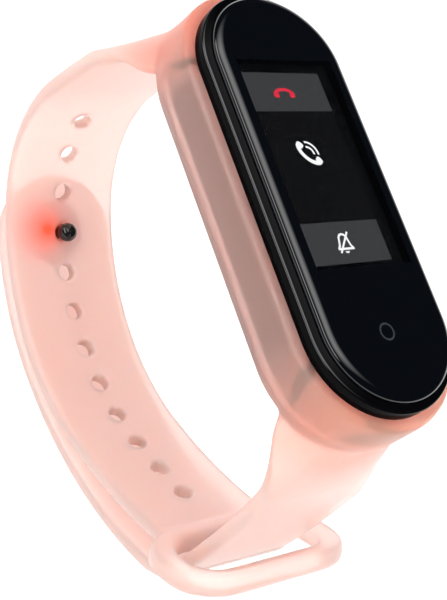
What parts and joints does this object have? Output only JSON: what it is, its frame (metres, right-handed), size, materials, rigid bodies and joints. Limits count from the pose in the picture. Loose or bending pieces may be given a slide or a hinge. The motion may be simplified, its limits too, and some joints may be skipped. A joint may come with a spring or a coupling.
{
  "type": "fitness tracker band",
  "caption": "Wrist-worn activity tracker: a stadium-shaped black capsule with a colour display, held in a looped translucent strap with sizing holes and a push stud.",
  "frame": {"origin": "centre of the wrist opening, on the axis of the wrist, at mid width of the strap", "axes": "+X along the wrist, towards the display's right side; +Y from the display's foot to its head; +Z out of the display"},
  "size_m": [0.023, 0.0637, 0.0544],
  "materials": {
    "tpu": "translucent satin coral TPU",
    "gloss_black": "polished black polycarbonate",
    "dark_glass": "polished, black-backed",
    "stud_coral": "satin coral",
    "stud_black": "polished black",
    "panel": "display laminate",
    "adhesive": "matt black foam",
    "clear_bond": "clear",
    "flex": "polyimide film",
    "gold": "gold plated",
    "frame_plastic": "moulded",
    "steel": "stamped steel",
    "board": "solder resist",
    "chip_resin": "moulded resin",
    "connector": "moulded",
    "cell_foil": "pouch foil",
    "led_resin": "clear green",
    "diode": "polished",
    "sensor_glass": "polished",
    "bronze": "sintered",
    "tungsten": "sintered"
  },
  "bodies": {
    "strap": {"strap_cradle": "tpu", "holed_strap": "tpu", "clasp_loop": "tpu", "lower_strap": "tpu"},
    "tail": {"strap_tail": "tpu", "stud_cap": "stud_coral", "stud_post": "stud_black"},
    "tracker": {"case_tub": "gloss_black", "glass_gasket": "adhesive", "cover_glass": "dark_glass", "display_bond": "clear_bond", "display_panel": "panel", "display_flex": "flex", "touch_pad": "gold", "inner_frame": "frame_plastic", "frame_screws": "steel", "main_board": "board", "shield_can": "steel", "processor_chip": "chip_resin", "memory_chip": "chip_resin", "motion_sensor": "chip_resin", "display_connector": "connector", "battery": "cell_foil", "battery_tabs": "steel", "battery_pad": "adhesive", "antenna_flex": "flex", "sensor_board": "board", "sensor_flex": "flex", "sensor_leds": "led_resin", "photodiode": "diode", "light_barrier": "adhesive", "sensor_window": "sensor_glass", "charge_contacts": "gold", "motor_case": "steel", "motor_cover": "steel", "motor_shaft": "steel"},
    "motor_rotor": {"motor_bushing": "bronze", "motor_weight": "tungsten"}
  },
  "joints": [
    {"name": "tracker_out", "type": "slide", "parent": "strap", "child": "tracker", "axis": [0, 0, 1], "range_m": [0, 0.016]},
    {"name": "tail_flex", "type": "hinge", "parent": "strap", "child": "tail", "pos_m": [0, 0.0039, -0.02362], "axis": [-1, 0, 0], "range_deg": [0, 55], "stiffness_Nm_per_rad": 0.02},
    {"name": "motor_spin", "type": "hinge", "parent": "tracker", "child": "motor_rotor", "pos_m": [0, 0.01325, 0.0218], "axis": [0, 0, 1], "continuous": true}
  ]
}
